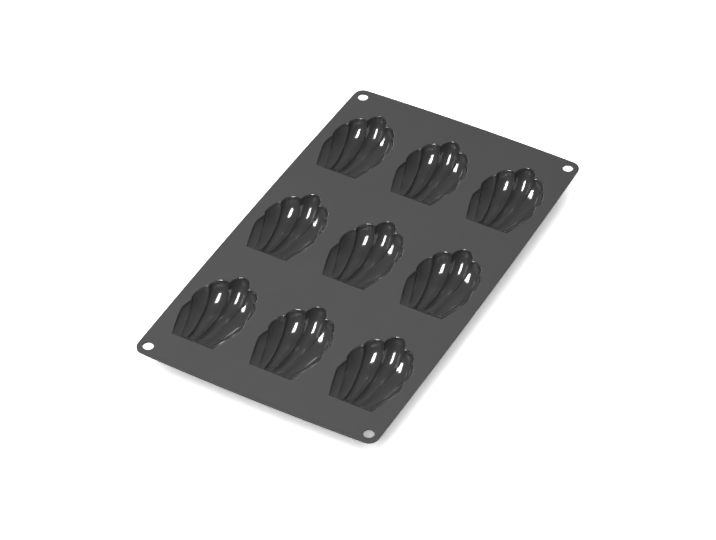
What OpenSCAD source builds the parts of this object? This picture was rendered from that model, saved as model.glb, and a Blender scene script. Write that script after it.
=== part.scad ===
// Silicone baking mould: a thin flat sheet with nine fluted shell cups hanging below it.
// The origin is on the surface that the cups stand on, under the middle of the sheet.
// X runs across the sheet, Y along it from the cups' straight ends to their fluted ends, Z up.

/* [Sheet] */
// Width of the sheet, across its middle
sheet_w = 175; // [160:1:240]
// Length of the sheet, along its middle
sheet_l = 300; // [260:1:400]
// Thickness of the sheet
sheet_t = 1.2; // [0.8:0.1:2.5]
// Radius of the sheet's four corners
corner_r = 7; // [2:0.5:10]
// How far the middle of each edge bows out past its corners
edge_bow = 1.4; // [0:0.1:3]

/* [Corner holes] */
// Diameter of the hole in each corner
hole_d = 7; // [3:0.5:10]
// Distance from a hole's centre to the long edge's middle line
hole_side_inset = 8.7; // [7:0.1:12]
// Distance from a hole's centre to the short edge's middle line
hole_end_inset = 9; // [7:0.1:12]

/* [Flat of the sheet between the hollows] */
// Margin between a long edge of the sheet and the hollows beside it
side_margin = 8.9; // [7:0.1:14]
// Margin between the near edge and the straight ends of the first row
near_margin = 25.9; // [18:0.1:32]
// Margin between the far edge and the tips of the last row
far_margin = 22.1; // [18:0.1:30]
// Gap between neighbouring hollows across the sheet
gap_x = 12.9; // [8:0.1:20]
// Gap between the tip of one hollow and the straight end of the next
gap_y = 27.6; // [18:0.1:34]

/* [Shell] */
// Width of a hollow's straight end
end_w = 29.8; // [22:0.1:34]
// Depth of the hollow below the top of the sheet
shell_d = 16; // [12:0.5:24]
// Thickness of a cup's wall
wall_t = 1.6; // [1.2:0.1:2.5]
// How much of the wall the flat foot under the deepest point takes off
foot_cut = 0.45; // [0.4:0.05:0.7]

/* [Hidden] */

// Depth of a cup below the sheet, and the height of the sheet's underside
cup_d = shell_d - sheet_t;
under_z = cup_d + wall_t - foot_cut;
// Three hollows fill the sheet's width and three its length, between the margins and gaps:
// the greatest width of one, its length from straight end to middle tip, and the two pitches
shell_w = (sheet_w - 2 * side_margin - 2 * gap_x) / 3;
shell_l = (sheet_l - near_margin - far_margin - 2 * gap_y) / 3;
pitch_x = shell_w + gap_x;
pitch_y = shell_l + gap_y;
half_w = shell_w / 2;
// How far a cutter runs past the face that it cuts
overrun = sheet_t;
// Round edges and corners are drawn with this many steps
edge_steps = 12;
corner_steps = 8;

// Ridges between the flutes, from the middle of the shell outwards. The last one is the side rim.
// Each has its start on the straight end, as a share of half that end, then the point that it
// bends towards and its outer end, as shares of half the width and of the length, then its depth
ridge_shares = [
    [0.280, [0.090, 0.360], [0.316, 0.866], 0.73],
    [0.450, [0.490, 0.375], [0.745, 0.730], 0.61],
    [0.700, [0.650, 0.200], [0.913, 0.495], 0.265],
    [1.000, [0.980, 0.290], [0.985, 0.348], 0]
];
// Floors of the flutes, from the middle flute outwards, given in the same way
floor_shares = [
    [0.000, [0.000, 0.270], [0.000, 1.000], 1],
    [0.360, [0.335, 0.260], [0.660, 0.846], 0.845],
    [0.570, [0.435, 0.180], [0.960, 0.639], 0.49],
    [0.850, [0.750, 0.140], [0.980, 0.411], 0.155]
];
// Along a ridge or a floor: where it is deepest, and how it falls from the straight end and
// rises to the fluted end, each as the two powers of a rounded curve
ridge_fall_shares = [0.73, [2.1, 1.3], [3.2, 1.5]];
floor_fall_shares = [0.72, [2.1, 1.2], [3.4, 1.5]];
// Power that rounds a flute from ridge to ridge, 1 for a half ellipse and 2 for a parabola
flute_round_share = 1.05;
// The wall grows away from this spine, given as shares of the width and of the length
spine_w_share = 0.5;
spine_near_share = 0.23;
spine_far_share = 0.72;
// Facets across each flute, from one side of the shell to the other, and along the shell
flute_steps = [3, 4, 5, 7, 5, 4, 3];
row_steps = 14;

flutes = len(flute_steps);
middle_flute = (flutes - 1) / 2;
stations = [
    for (f = [0 : flutes - 1])
        for (i = [0 : flute_steps[f] - 1])
            [f, i / flute_steps[f]],
    [flutes - 1, 1]
];
columns = len(stations);

// Share of the full depth at the place v, from 0 at the straight end to 1 at the fluted end
function rounded(u, powers) = pow(max(0, 1 - pow(u, powers[0])), 1 / powers[1]);
function fall(v, f) = v < f[0] ? rounded((f[0] - v) / f[0], f[1])
                               : rounded((v - f[0]) / (1 - f[0]), f[2]);

// Point on one ridge or floor line, on the side of the shell that the sign of side gives
function line_point(shares, f, side, v) =
    let(
        start = [shares[0] * end_w / 2, 0],
        bend = [shares[1][0] * half_w, shares[1][1] * shell_l],
        end = [shares[2][0] * half_w, shares[2][1] * shell_l],
        flat = start * pow(1 - v, 2) + bend * 2 * v * (1 - v) + end * pow(v, 2)
    )
    [side * flat[0], flat[1], -shares[3] * cup_d * fall(v, f)];
function ridge_point(r, v) =
    let(side = r - flutes / 2)
    line_point(ridge_shares[floor(abs(side))], ridge_fall_shares, sign(side), v);
function floor_point(f, v) =
    let(side = f - middle_flute)
    line_point(floor_shares[abs(side)], floor_fall_shares, sign(side), v);

// Point on the inside of a cup, at the share s across flute f and the place v along the shell
function inner_point(f, s, v) =
    let(a = ridge_point(f, v), b = ridge_point(f + 1, v), c = floor_point(f, v))
    a + (b - a) * (1 - cos(180 * s)) / 2 + (c - (a + b) / 2) * pow(sin(180 * s), flute_round_share);
// The same point on the outside, one wall away from the spine and flat at the foot
function outer_point(p) =
    let(
        spine_y = min(max(p[1], spine_near_share * shell_l), spine_far_share * shell_l),
        away = p - [p[0] * spine_w_share, spine_y, 0],
        q = p + away * wall_t / norm(away)
    )
    [q[0], q[1], max(q[2], -under_z)];

function row_place(i) = (1 - cos(180 * i / row_steps)) / 2;
inner_rows = [
    for (i = [0 : row_steps])
        [for (s = stations) inner_point(s[0], s[1], row_place(i))]
];
// The rim of the hollow, once round: straight end, one side, fluted end, other side
rim = [
    for (c = [0 : columns - 1]) [0, c],
    for (i = [1 : row_steps - 1]) [i, columns - 1],
    for (c = [columns - 1 : -1 : 0]) [row_steps, c],
    for (i = [row_steps - 1 : -1 : 1]) [i, 0]
];
rim_outline = [for (r = rim) let(p = inner_rows[r[0]][r[1]]) [p[0], p[1]]];

// One quarter turn of the sheet's outline, from the middle of a side round the next corner
function bowed_side(length, out) = [
    for (i = [-edge_steps + 1 : edge_steps - 1])
        let(t = i / edge_steps)
        [out + edge_bow * (1 - pow(t, 2)), t * (length / 2 - corner_r)]
];
function corner(x, y) = [
    for (i = [0 : corner_steps])
        let(a = 90 * i / corner_steps)
        [x - corner_r + corner_r * cos(a), y - corner_r + corner_r * sin(a)]
];
function turned(points, a) = [
    for (p = points)
        [p[0] * cos(a) - p[1] * sin(a), p[0] * sin(a) + p[1] * cos(a)]
];
corner_x = sheet_w / 2 - edge_bow;
corner_y = sheet_l / 2 - edge_bow;
sheet_outline = concat(
    bowed_side(2 * corner_y, corner_x),
    corner(corner_x, corner_y),
    turned(bowed_side(2 * corner_x, corner_y), 90),
    turned(corner(corner_y, corner_x), 90),
    turned(bowed_side(2 * corner_y, corner_x), 180),
    turned(corner(corner_x, corner_y), 180),
    turned(bowed_side(2 * corner_x, corner_y), 270),
    turned(corner(corner_y, corner_x), 270)
);

// Place of a cup's straight end, for a column from -1 to 1 and a row from 0 to 2
function cup_place(column, row) = [column * pitch_x, near_margin + row * pitch_y - sheet_l / 2, 0];

module sheet() {
    color([0.33, 0.33, 0.33])
    translate([0, 0, under_z])
    difference() {
        linear_extrude(sheet_t) polygon(sheet_outline);
        for (column = [-1 : 1], row = [0 : 2])
            translate(cup_place(column, row) - [0, 0, overrun])
            linear_extrude(sheet_t + 2 * overrun) polygon(rim_outline);
        for (x = [-1, 1], y = [-1, 1])
            translate([x * (sheet_w / 2 - hole_side_inset), y * (sheet_l / 2 - hole_end_inset), -overrun])
            cylinder(h = sheet_t + 2 * overrun, d = hole_d, $fn = 48);
    }
}

// Corners of the polyhedron: all of the inside first, then all of the outside
function inner_index(i, c) = i * columns + c;
function outer_index(i, c) = (row_steps + 1) * columns + inner_index(i, c);

module cup(column, row) {
    inside = [for (r = inner_rows) each r];
    outside = [for (p = inside) outer_point(p)];
    faces = [
        for (i = [0 : row_steps - 1], c = [0 : columns - 2]) each [
            [inner_index(i, c), inner_index(i + 1, c), inner_index(i + 1, c + 1)],
            [inner_index(i, c), inner_index(i + 1, c + 1), inner_index(i, c + 1)],
            [outer_index(i, c), outer_index(i + 1, c + 1), outer_index(i + 1, c)],
            [outer_index(i, c), outer_index(i, c + 1), outer_index(i + 1, c + 1)]
        ],
        for (k = [0 : len(rim) - 1])
            let(a = rim[k], b = rim[(k + 1) % len(rim)])
            each [
                [inner_index(a[0], a[1]), inner_index(b[0], b[1]), outer_index(b[0], b[1])],
                [inner_index(a[0], a[1]), outer_index(b[0], b[1]), outer_index(a[0], a[1])]
            ]
    ];
    color([0.22, 0.22, 0.22])
    translate(cup_place(column, row) + [0, 0, under_z])
    polyhedron(points = concat(inside, outside), faces = faces, convexity = 8);
}

module cup_near_left() cup(-1, 0);
module cup_near_middle() cup(0, 0);
module cup_near_right() cup(1, 0);
module cup_middle_left() cup(-1, 1);
module cup_middle_middle() cup(0, 1);
module cup_middle_right() cup(1, 1);
module cup_far_left() cup(-1, 2);
module cup_far_middle() cup(0, 2);
module cup_far_right() cup(1, 2);

sheet();
cup_near_left();
cup_near_middle();
cup_near_right();
cup_middle_left();
cup_middle_middle();
cup_middle_right();
cup_far_left();
cup_far_middle();
cup_far_right();
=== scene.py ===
import math

import bpy
from mathutils import Matrix, Vector


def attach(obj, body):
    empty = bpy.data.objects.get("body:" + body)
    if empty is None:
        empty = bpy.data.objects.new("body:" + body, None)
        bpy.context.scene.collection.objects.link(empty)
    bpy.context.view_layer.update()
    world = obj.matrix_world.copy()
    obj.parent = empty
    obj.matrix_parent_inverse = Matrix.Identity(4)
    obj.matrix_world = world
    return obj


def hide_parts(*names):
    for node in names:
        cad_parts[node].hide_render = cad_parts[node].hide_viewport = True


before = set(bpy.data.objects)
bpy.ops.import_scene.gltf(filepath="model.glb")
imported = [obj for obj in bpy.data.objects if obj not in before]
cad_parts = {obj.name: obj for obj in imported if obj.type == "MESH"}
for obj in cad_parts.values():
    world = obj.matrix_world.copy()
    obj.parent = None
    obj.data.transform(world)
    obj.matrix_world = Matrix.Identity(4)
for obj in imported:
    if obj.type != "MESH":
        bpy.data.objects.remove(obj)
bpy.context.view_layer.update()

# ---------------------------------------------------------------------------------------
# The nine cups.
# Each cup is a thin fluted scallop shell of dark grey silicone, hanging below the sheet
# with its straight end towards the near edge. It is moulded against a polished core, so
# the inside is glossy, and it meets the sheet in a narrow rolled lip.
# ---------------------------------------------------------------------------------------
CUP_LENGTH = 0.0656          # straight end to the tip of the middle flute
CUP_WIDTH = 0.0438
STRAIGHT_END = 0.0298        # width of the straight end
SHEET_T = 0.0012
CUP_DEPTH = 0.016 - SHEET_T  # below the sheet's underside
WALL = 0.0016
FOOT_CUT = 0.00045           # the flat foot takes this much off the wall
UNDERSIDE = CUP_DEPTH + WALL - FOOT_CUT
SHEET_TOP = UNDERSIDE + SHEET_T

# Ridges between the flutes, from the middle outwards: the start on half the straight end,
# the point that the ridge bends towards, its outer end, and its share of the depth
RIDGES = (
    (0.280, (0.090, 0.360), (0.316, 0.866), 0.73),
    (0.450, (0.490, 0.375), (0.745, 0.730), 0.61),
    (0.700, (0.650, 0.200), (0.913, 0.495), 0.265),
    (1.000, (0.980, 0.290), (0.985, 0.348), 0.0),
)
# Floors of the flutes, from the middle flute outwards, in the same way
FLOORS = (
    (0.000, (0.000, 0.270), (0.000, 1.000), 1.0),
    (0.360, (0.335, 0.260), (0.660, 0.846), 0.845),
    (0.570, (0.435, 0.180), (0.960, 0.639), 0.49),
    (0.850, (0.750, 0.140), (0.980, 0.411), 0.155),
)
# Where a line is deepest, then the two powers of its fall and of its rise
RIDGE_FALL = (0.73, (2.1, 1.3), (3.2, 1.5))
FLOOR_FALL = (0.72, (2.1, 1.2), (3.4, 1.5))
FLUTE_ROUND = 1.05           # 1 would make each flute half an ellipse
RIDGE_ROUND = 0.0009         # how far the rounding of a ridge reaches to each side
ROUND_LEAST = 0.02           # share of that reach below which a point stays where it is
ROUND_EDGE = 2.5             # a row's ends are this many reaches away, or the reach shrinks
ROUND_TAIL = 3               # reaches after which a neighbour no longer counts
ROUND_ROWS = 10              # rows over which the rounding fades in from either end
# The wall grows away from this line, given in shares of the width and of the length
SPINE_W, SPINE_NEAR, SPINE_FAR = 0.5, 0.23, 0.72
FLUTE_STEPS = (10, 12, 14, 18, 14, 12, 10)
MIDDLE_FLUTE = 3
CUP_ROWS = 64
LIP = 0.00045                # radius of the rolled lip
LIP_STEPS = 5
LAND = 0.00015               # flat strip between the lip and the sheet
FILLET = 0.0008              # where the outside runs into the sheet's underside
SMOOTH_ANGLE = math.radians(40)


def fall(place, deepest, near, far):
    """Share of the full depth at a place from 0, the straight end, to 1, the fluted end."""
    if place < deepest:
        u, powers = (deepest - place) / deepest, near
    else:
        u, powers = (place - deepest) / (1 - deepest), far
    return max(0.0, 1 - u ** powers[0]) ** (1 / powers[1])


def shell_line(shares, curve, side, place):
    """A point on one ridge or floor line of the shell."""
    start = Vector((shares[0] * STRAIGHT_END / 2, 0))
    bend = Vector((shares[1][0] * CUP_WIDTH / 2, shares[1][1] * CUP_LENGTH))
    end = Vector((shares[2][0] * CUP_WIDTH / 2, shares[2][1] * CUP_LENGTH))
    flat = start * (1 - place) ** 2 + bend * 2 * place * (1 - place) + end * place ** 2
    return Vector((side * flat.x, flat.y, -shares[3] * CUP_DEPTH * fall(place, *curve)))


def inside_point(flute, across, place):
    """A point on the inside of the shell: across goes from one ridge of the flute to the next."""
    middle = flute - MIDDLE_FLUTE
    left, right = middle - 0.5, middle + 0.5
    side = math.copysign(1, middle) if middle else 0
    a = shell_line(RIDGES[int(abs(left))], RIDGE_FALL, math.copysign(1, left), place)
    b = shell_line(RIDGES[int(abs(right))], RIDGE_FALL, math.copysign(1, right), place)
    c = shell_line(FLOORS[abs(middle)], FLOOR_FALL, side, place)
    bulge = abs(math.sin(math.pi * across)) ** FLUTE_ROUND
    return a + (b - a) * (1 - math.cos(math.pi * across)) / 2 + (c - (a + b) / 2) * bulge


def rounded_row(points, reach):
    """One row of the shell with its ridges rounded off: each point moves to the mean of its
    neighbourhood, weighted by distance along the row. The row's ends stay where they are."""
    along = [0.0]
    for a, b in zip(points, points[1:]):
        along.append(along[-1] + (b - a).length)
    last = len(along) - 1
    spans = [along[min(i + 1, last)] - along[max(i - 1, 0)] for i in range(len(along))]
    out = []
    for i, point in enumerate(points):
        wide = min(reach, along[i] / ROUND_EDGE, (along[-1] - along[i]) / ROUND_EDGE)
        if wide < reach * ROUND_LEAST:
            out.append(point)
            continue
        total, mean = 0.0, Vector((0, 0, 0))
        for place, span, other in zip(along, spans, points):
            far = (place - along[i]) / wide
            if abs(far) < ROUND_TAIL:
                weight = span * math.exp(-far * far / 2)
                total += weight
                mean += other * weight
        out.append(mean / total)
    return out


def away_from_spine(point):
    """The direction in which the wall grows, away from a line along the middle of the shell."""
    y = min(max(point.y, SPINE_NEAR * CUP_LENGTH), SPINE_FAR * CUP_LENGTH)
    return (point - Vector((point.x * SPINE_W, y, 0))).normalized()


def outside_point(point):
    """The point of the outside that belongs to a point of the inside."""
    away = away_from_spine(point)
    out = point + away * WALL
    if out.z > -FILLET:
        flat = Vector((away.x, away.y, 0)).normalized()
        out += flat * (FILLET - math.sqrt(max(0, FILLET ** 2 - (FILLET + out.z) ** 2)))
    out.z = max(out.z, -UNDERSIDE)
    return out


def deselect():
    bpy.ops.object.select_all(action="DESELECT")


def only(piece):
    """Selects one object and makes it the active one."""
    deselect()
    piece.select_set(True)
    bpy.context.view_layer.objects.active = piece


def pick(piece, test):
    """Selects only the vertices of a piece that pass a test."""
    for face in piece.data.polygons:
        face.select = False
    for edge in piece.data.edges:
        edge.select = False
    for vertex in piece.data.vertices:
        vertex.select = test(vertex)


def edit(*steps):
    """Goes through some edit mode operators with the selection as it is."""
    bpy.ops.object.mode_set(mode="EDIT")
    bpy.ops.mesh.select_mode(type="VERT")
    for step in steps:
        step()
    bpy.ops.object.mode_set(mode="OBJECT")


# The inside starts as a flat grid, and its points then move onto the shell: columns go from
# one side of the shell to the other, and rows from the straight end to the fluted end
stations = [(flute, i / steps) for flute, steps in enumerate(FLUTE_STEPS) for i in range(steps)]
stations.append((len(FLUTE_STEPS) - 1, 1.0))
columns = len(stations) - 1
deselect()
bpy.ops.mesh.primitive_grid_add(x_subdivisions=columns, y_subdivisions=CUP_ROWS, size=1)
shell = bpy.context.object
shell.name = "shell"
shell_rows = []
for row in range(CUP_ROWS + 1):
    place = (1 - math.cos(math.pi * row / CUP_ROWS)) / 2
    points = [inside_point(flute, across, place) for flute, across in stations]
    reach = RIDGE_ROUND * min(1, row / ROUND_ROWS, (CUP_ROWS - row) / ROUND_ROWS)
    shell_rows.append(rounded_row(points, reach) if reach else points)
for vertex in shell.data.vertices:
    column = round((vertex.co.x + 0.5) * columns)
    row = round((vertex.co.y + 0.5) * CUP_ROWS)
    vertex.co = shell_rows[row][column]

# The outside is a copy of the inside, moved out by the wall and turned over
only(shell)
bpy.ops.object.duplicate()
outside = bpy.context.object
for vertex in outside.data.vertices:
    vertex.co = outside_point(vertex.co)
edit(lambda: bpy.ops.mesh.select_all(action="SELECT"), lambda: bpy.ops.mesh.flip_normals())

# The inside's rim goes up through the sheet's thickness and rolls out into the lip
only(shell)
edit(
    lambda: bpy.ops.mesh.select_all(action="DESELECT"),
    lambda: bpy.ops.mesh.select_non_manifold(),
    lambda: bpy.ops.mesh.extrude_edges_move(
        TRANSFORM_OT_translate={"value": (0, 0, SHEET_T - LIP)}),
)
for step in range(1, LIP_STEPS + 2):
    edit(lambda: bpy.ops.mesh.extrude_edges_move(TRANSFORM_OT_translate={"value": (0, 0, 0)}))
    before, now = (math.pi / 2 * s / LIP_STEPS for s in (step - 1, step))
    out, up = LAND, 0
    if step <= LIP_STEPS:
        out = LIP * (math.cos(before) - math.cos(now))
        up = LIP * (math.sin(now) - math.sin(before))
    for vertex in shell.data.vertices:
        if vertex.select:
            away = away_from_spine(Vector((vertex.co.x, vertex.co.y, 0)))
            vertex.co += away * out + Vector((0, 0, up))

# A ring round the land is kept for the sheet's openings
only(shell)
bpy.ops.object.duplicate()
rim = bpy.context.object
rim.name = "rim"
edit(lambda: bpy.ops.mesh.select_all(action="INVERT"), lambda: bpy.ops.mesh.delete(type="VERT"))

only(shell)
outside.select_set(True)
bpy.ops.object.join()
edit(
    lambda: bpy.ops.mesh.select_all(action="DESELECT"),
    lambda: bpy.ops.mesh.select_non_manifold(),
    lambda: bpy.ops.mesh.bridge_edge_loops(),
)
for vertex in shell.data.vertices:
    vertex.co.z += UNDERSIDE
for vertex in rim.data.vertices:
    vertex.co.z = SHEET_TOP
only(shell)
bpy.ops.object.shade_smooth_by_angle(angle=SMOOTH_ANGLE)



def add_node(tree, kind, x, y, **values):
    """Adds a node to a material, with its settings and the values of its sockets."""
    node = tree.nodes.new(kind)
    node.location = (x, y)
    for name, value in values.items():
        if name in node.inputs:
            node.inputs[name].default_value = value
        else:
            setattr(node, name, value)
    return node


def silicone(name, grey, rough, rough_spread, grain_size, grain_height, mottle, shine):
    """Cured silicone rubber: an even grey with a fine grain, slight mottling and uneven gloss."""
    material = bpy.data.materials.new(name)
    material.use_nodes = True
    tree = material.node_tree
    shader = tree.nodes["Principled BSDF"]
    shader.inputs["IOR"].default_value = 1.42
    shader.inputs["Specular IOR Level"].default_value = shine
    place = add_node(tree, "ShaderNodeTexCoord", -1100, 0)
    cloud = add_node(tree, "ShaderNodeTexNoise", -800, 200, Scale=28.0, Detail=4.0, Roughness=0.55)
    shade = add_node(tree, "ShaderNodeMapRange", -500, 300)
    shade.inputs["From Min"].default_value = 0.3
    shade.inputs["From Max"].default_value = 0.7
    shade.inputs["To Min"].default_value = grey * (1 - mottle)
    shade.inputs["To Max"].default_value = grey * (1 + mottle)
    smear = add_node(tree, "ShaderNodeTexNoise", -800, -50, Scale=90.0, Detail=6.0, Roughness=0.6)
    gloss = add_node(tree, "ShaderNodeMapRange", -500, 0)
    gloss.inputs["From Min"].default_value = 0.3
    gloss.inputs["From Max"].default_value = 0.7
    gloss.inputs["To Min"].default_value = rough - rough_spread
    gloss.inputs["To Max"].default_value = rough + rough_spread
    grain = add_node(tree, "ShaderNodeTexNoise", -800, -300, Scale=1 / grain_size, Detail=3.0,
                     Roughness=0.6)
    bump = add_node(tree, "ShaderNodeBump", -300, -300, Strength=1.0, Distance=grain_height)
    for texture in (cloud, smear, grain):
        tree.links.new(place.outputs["Object"], texture.inputs["Vector"])
    tree.links.new(cloud.outputs["Fac"], shade.inputs["Value"])
    tree.links.new(shade.outputs["Result"], shader.inputs["Base Color"])
    tree.links.new(smear.outputs["Fac"], gloss.inputs["Value"])
    tree.links.new(gloss.outputs["Result"], shader.inputs["Roughness"])
    tree.links.new(grain.outputs["Fac"], bump.inputs["Height"])
    tree.links.new(bump.outputs["Normal"], shader.inputs["Normal"])
    return material


cup_silicone = silicone("cup_silicone", grey=0.0465, rough=0.13, rough_spread=0.015,
                        grain_size=0.0025, grain_height=0.000002, mottle=0.04, shine=0.5)
shell.data.materials.append(cup_silicone)

# One cup and its rim are copied to all nine places
PITCH_X = 0.0567
PITCH_Y = 0.0932
FIRST_ROW = -0.1241          # straight ends of the near row
COLUMN_NAMES = ("left", "middle", "right")
ROW_NAMES = ("near", "middle", "far")
rims = []
for row, row_name in enumerate(ROW_NAMES):
    for column, column_name in enumerate(COLUMN_NAMES):
        place = Matrix.Translation(((column - 1) * PITCH_X, FIRST_ROW + row * PITCH_Y, 0))
        node = "cup_%s_%s" % (row_name, column_name)
        for source in (shell, rim):
            copy = source.copy()
            copy.data = source.data.copy()
            copy.data.transform(place)
            bpy.context.scene.collection.objects.link(copy)
            if source is rim:
                rims.append(copy)
                continue
            copy.name = "shell_%s_%s" % (row_name, column_name)
            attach(copy, "root")
            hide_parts(node)
        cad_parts[node].data.materials.clear()
        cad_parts[node].data.materials.append(cup_silicone)
for source in (shell, rim):
    bpy.data.objects.remove(source)

# ---------------------------------------------------------------------------------------
# The sheet.
# A flat rectangle of the same silicone, 1.2 mm thick, moulded in one with the cups. Its
# sides bow out a little, its corners are round, and each corner has a plain round hole.
# It is moulded against a fine blasted plate, so it is matt beside the glossy cups.
# ---------------------------------------------------------------------------------------
SHEET_W, SHEET_L = 0.175, 0.300
EDGE_BOW = 0.0014
CORNER_R = 0.007
EDGE_ROUND = 0.0003
HOLE_R = 0.0035
HOLE_X = SHEET_W / 2 - 0.0087
HOLE_Y = SHEET_L / 2 - 0.009
SIDE_CUTS = 31
CORNER_STEPS = 12
EDGE_STEPS = 3
HOLE_STEPS = 64
SUPPORT = 0.0006             # flat strip that keeps the shading of the big faces even
TOUCH = 1e-6                 # points nearer than this count as one height or place

deselect()
bpy.ops.mesh.primitive_plane_add(size=1, location=(0, 0, SHEET_TOP))
sheet = bpy.context.object
sheet.name = "baking_sheet"
sheet.scale = (SHEET_W - 2 * EDGE_BOW, SHEET_L - 2 * EDGE_BOW, 1)
bpy.ops.object.transform_apply(location=True, rotation=True, scale=True)
edit(
    lambda: bpy.ops.mesh.select_all(action="SELECT"),
    lambda: bpy.ops.mesh.bevel(offset=CORNER_R, segments=CORNER_STEPS, affect="VERTICES"),
)


def pick_edges(piece, test):
    """Selects only the edges of a piece whose two ends pass a test."""
    bpy.ops.object.mode_set(mode="EDIT")
    bpy.ops.mesh.select_mode(type="EDGE")
    bpy.ops.mesh.select_all(action="DESELECT")
    bpy.ops.object.mode_set(mode="OBJECT")
    for edge in piece.data.edges:
        edge.select = test(*(piece.data.vertices[i].co for i in edge.vertices))


# The four long sides are cut up and bow out
pick_edges(sheet, lambda a, b: (a - b).length > 2 * CORNER_R)
bpy.ops.object.mode_set(mode="EDIT")
bpy.ops.mesh.subdivide(number_cuts=SIDE_CUTS)
bpy.ops.object.mode_set(mode="OBJECT")
straight_x = SHEET_W / 2 - EDGE_BOW
straight_y = SHEET_L / 2 - EDGE_BOW
for vertex in sheet.data.vertices:
    x, y = vertex.co.x, vertex.co.y
    if abs(x) > straight_x - TOUCH:
        share = min(1, abs(y) / (straight_y - CORNER_R))
        vertex.co.x += math.copysign(EDGE_BOW * (1 - share ** 2), x)
    if abs(y) > straight_y - TOUCH:
        share = min(1, abs(x) / (straight_x - CORNER_R))
        vertex.co.y += math.copysign(EDGE_BOW * (1 - share ** 2), y)

# Thickness, rounded edges, and a strip inside them on both faces
edit(
    lambda: bpy.ops.mesh.select_all(action="SELECT"),
    lambda: bpy.ops.mesh.extrude_region_move(TRANSFORM_OT_translate={"value": (0, 0, -SHEET_T)}),
    lambda: bpy.ops.mesh.select_all(action="SELECT"),
    lambda: bpy.ops.mesh.normals_make_consistent(inside=False),
)
pick_edges(sheet, lambda a, b: abs(a.z - b.z) < TOUCH)
bpy.ops.object.mode_set(mode="EDIT")
bpy.ops.mesh.bevel(offset=EDGE_ROUND, segments=EDGE_STEPS, affect="EDGES")
bpy.ops.mesh.select_mode(type="FACE")
bpy.ops.mesh.select_all(action="DESELECT")
bpy.ops.object.mode_set(mode="OBJECT")
for face in sheet.data.polygons:
    face.select = len(face.vertices) > SIDE_CUTS     # only the top and the underside
bpy.ops.object.mode_set(mode="EDIT")
bpy.ops.mesh.inset(thickness=SUPPORT)
bpy.ops.mesh.delete(type="ONLY_FACE")
bpy.ops.object.mode_set(mode="OBJECT")

# Each hole: a ring at half the thickness, drawn up and flared at its edge, then mirrored
middle_z = SHEET_TOP - SHEET_T / 2
parts = []
for x in (-HOLE_X, HOLE_X):
    for y in (-HOLE_Y, HOLE_Y):
        deselect()
        bpy.ops.mesh.primitive_circle_add(
            vertices=HOLE_STEPS, radius=HOLE_R, location=(x, y, middle_z))
        hole = bpy.context.object
        levels = [(HOLE_R, SHEET_T / 2 - EDGE_ROUND)]
        for step in range(1, EDGE_STEPS + 1):
            angle = math.pi / 2 * step / EDGE_STEPS
            levels.append((HOLE_R + EDGE_ROUND * (1 - math.cos(angle)),
                           SHEET_T / 2 - EDGE_ROUND * (1 - math.sin(angle))))
        levels.append((levels[-1][0] + SUPPORT, SHEET_T / 2))
        for radius, height in levels:
            edit(lambda: bpy.ops.mesh.extrude_edges_move(
                TRANSFORM_OT_translate={"value": (0, 0, 0)}))
            for vertex in hole.data.vertices:
                if vertex.select:
                    flat = Vector((vertex.co.x, vertex.co.y, 0)).normalized()
                    vertex.co = flat * radius + Vector((0, 0, height))
        mirror = hole.modifiers.new("Mirror", "MIRROR")
        mirror.use_axis = (False, False, True)
        mirror.merge_threshold = TOUCH
        bpy.ops.object.modifier_apply(modifier=mirror.name)
        bpy.ops.object.transform_apply(location=True, rotation=True, scale=True)
        parts.append(hole)

# Each opening for a cup: the ring that was kept of its land, drawn down to the underside
for opening in rims:
    only(opening)
    edit(
        lambda: bpy.ops.mesh.select_all(action="SELECT"),
        lambda: bpy.ops.mesh.extrude_edges_move(
            TRANSFORM_OT_translate={"value": (0, 0, -SHEET_T)}),
    )

# All joined, and the two faces filled between the outline, the holes and the openings
only(sheet)
for part in parts + rims:
    part.select_set(True)
bpy.ops.object.join()
for level in (SHEET_TOP, UNDERSIDE):
    bpy.ops.object.mode_set(mode="EDIT")
    bpy.ops.mesh.select_mode(type="VERT")
    bpy.ops.mesh.select_all(action="DESELECT")
    bpy.ops.mesh.select_non_manifold()
    bpy.ops.object.mode_set(mode="OBJECT")
    pick(sheet, lambda vertex: vertex.select and abs(vertex.co.z - level) < TOUCH)
    bpy.ops.object.mode_set(mode="EDIT")
    bpy.ops.mesh.fill(use_beauty=True)
    bpy.ops.object.mode_set(mode="OBJECT")
edit(
    lambda: bpy.ops.mesh.select_all(action="SELECT"),
    lambda: bpy.ops.mesh.normals_make_consistent(inside=False),
)
bpy.ops.object.shade_smooth_by_angle(angle=SMOOTH_ANGLE)

# The sheet is the same silicone as the cups, but its grey is set lighter: besides the rubber's own
# grey it holds a painted sheen, the light that the matt surface scatters, since its specular
# reflection is set very low.
sheet_silicone = silicone("sheet_silicone", grey=0.0735, rough=0.45, rough_spread=0.04,
                          grain_size=0.0004, grain_height=0.00001, mottle=0.03, shine=0.05)
sheet.data.materials.append(sheet_silicone)
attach(sheet, "root")
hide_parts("sheet")
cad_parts["sheet"].data.materials.clear()
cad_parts["sheet"].data.materials.append(sheet_silicone)

# ---------------------------------------------------------------------------------------
# The table and the light.
# A white studio table and backdrop. A long soft box high in front of the sheet gives the
# highlights, and broad weak lamps round it light the rubber evenly.
# ---------------------------------------------------------------------------------------
TABLE_SIZE = 8.0
GLOW_SHARE = 0.33            # how much of the table's white doesn't depend on the light
TABLE_WHITE = 2.2            # the seen table is brighter than white, so only deep shade shows
TABLE_PAINT = 0.85           # what the table throws back onto the sheet
SKY = 0.25

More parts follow.
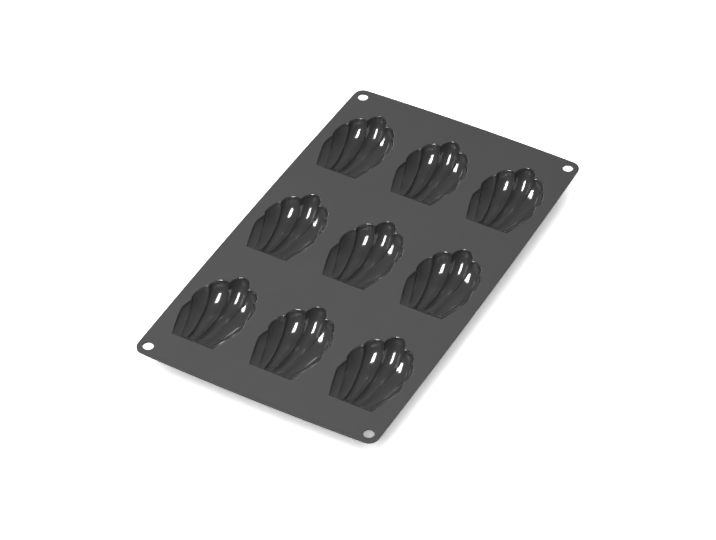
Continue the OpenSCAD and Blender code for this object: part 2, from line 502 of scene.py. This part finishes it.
deselect()
bpy.ops.mesh.primitive_plane_add(size=TABLE_SIZE, location=(0, 0, 0))
table = bpy.context.object
table.name = "table"
white = bpy.data.materials.new("white_table")
white.use_nodes = True
tree = white.node_tree
tree.nodes.clear()
ray = add_node(tree, "ShaderNodeLightPath", -900, 200)
paint = add_node(tree, "ShaderNodeBsdfDiffuse", -400, 0,
                 Color=(TABLE_PAINT, TABLE_PAINT, TABLE_PAINT, 1))
seen_paint = add_node(tree, "ShaderNodeBsdfDiffuse", -650, -100,
                      Color=(TABLE_WHITE, TABLE_WHITE, TABLE_WHITE, 1))
glow = add_node(tree, "ShaderNodeEmission", -650, -250, Color=(1, 1, 1, 1), Strength=1.0)
seen = add_node(tree, "ShaderNodeMixShader", -400, -150, Fac=GLOW_SHARE)
mix = add_node(tree, "ShaderNodeMixShader", -150, 0)
output = add_node(tree, "ShaderNodeOutputMaterial", 100, 0)
tree.links.new(seen_paint.outputs["BSDF"], seen.inputs[1])
tree.links.new(glow.outputs["Emission"], seen.inputs[2])
tree.links.new(ray.outputs["Is Camera Ray"], mix.inputs["Fac"])
tree.links.new(paint.outputs["BSDF"], mix.inputs[1])
tree.links.new(seen.outputs["Shader"], mix.inputs[2])
tree.links.new(mix.outputs["Shader"], output.inputs["Surface"])
table.data.materials.append(white)

world = bpy.data.worlds.new("studio")
bpy.context.scene.world = world
world.use_nodes = True
tree = world.node_tree
sky = tree.nodes["Background"]
sky.inputs["Color"].default_value = (1, 1, 1, 1)
sky.inputs["Strength"].default_value = SKY
backdrop = add_node(tree, "ShaderNodeBackground", 0, -200, Color=(1, 1, 1, 1), Strength=1.0)
ray = add_node(tree, "ShaderNodeLightPath", -200, 300)
mix = add_node(tree, "ShaderNodeMixShader", 250, 0)
tree.links.new(ray.outputs["Is Camera Ray"], mix.inputs["Fac"])
tree.links.new(sky.outputs["Background"], mix.inputs[1])
tree.links.new(backdrop.outputs["Background"], mix.inputs[2])
tree.links.new(mix.outputs["Shader"], tree.nodes["World Output"].inputs["Surface"])


def soft_box(name, place, width, height, watts, fill=True, gloss=True):
    """A rectangular soft box that looks at the middle of the table. Without fill it shows only
    as a highlight, and without gloss it shows in no highlight."""
    light = bpy.data.lights.new(name, "AREA")
    light.shape = "RECTANGLE"
    light.size, light.size_y = width, height
    light.energy = watts
    lamp = bpy.data.objects.new(name, light)
    bpy.context.scene.collection.objects.link(lamp)
    lamp.location = place
    lamp.rotation_euler = (-Vector(place)).to_track_quat("-Z", "Y").to_euler()
    lamp.visible_diffuse = fill
    lamp.visible_glossy = gloss


soft_box("overhead_box", (0.2, -0.61, 1.07), 0.52, 1.1, 9, gloss=False)
soft_box("overhead_shine", (0.19, -0.58, 1.02), 0.42, 1.0, 80, fill=False)
soft_box("left_shine", (-1.1, 0.42, 0.3), 1.2, 0.5, 13, fill=False)
soft_box("back_box", (-0.5, 1.1, 0.9), 0.9, 0.6, 8, gloss=False)
soft_box("front_box", (-0.3, -0.45, 0.8), 0.8, 0.4, 3.4, gloss=False)

# ---------------------------------------------------------------------------------------
# The camera stands off the near right corner and looks down at the sheet, from far enough
# away for a long lens.
# ---------------------------------------------------------------------------------------
CAMERA_PLACE = Vector((0.6022, -1.1196, 1.1650 + SHEET_TOP))
CAMERA_RIGHT = Vector((0.8776, 0.4795, 0.0028))
CAMERA_AHEAD = Vector((-0.3498, 0.6442, -0.6802))
LENS = 133.0

camera = bpy.data.objects.new("camera", bpy.data.cameras.new("camera"))
bpy.context.scene.collection.objects.link(camera)
back = -CAMERA_AHEAD.normalized()
up = back.cross(CAMERA_RIGHT).normalized()
right = up.cross(back)
turn = Matrix((right, up, back)).transposed().to_4x4()
camera.matrix_world = Matrix.Translation(CAMERA_PLACE) @ turn
camera.data.sensor_width = 36
camera.data.lens = LENS
camera.data.clip_end = 20
bpy.context.scene.camera = camera

bpy.context.scene.view_settings.view_transform = "Standard"
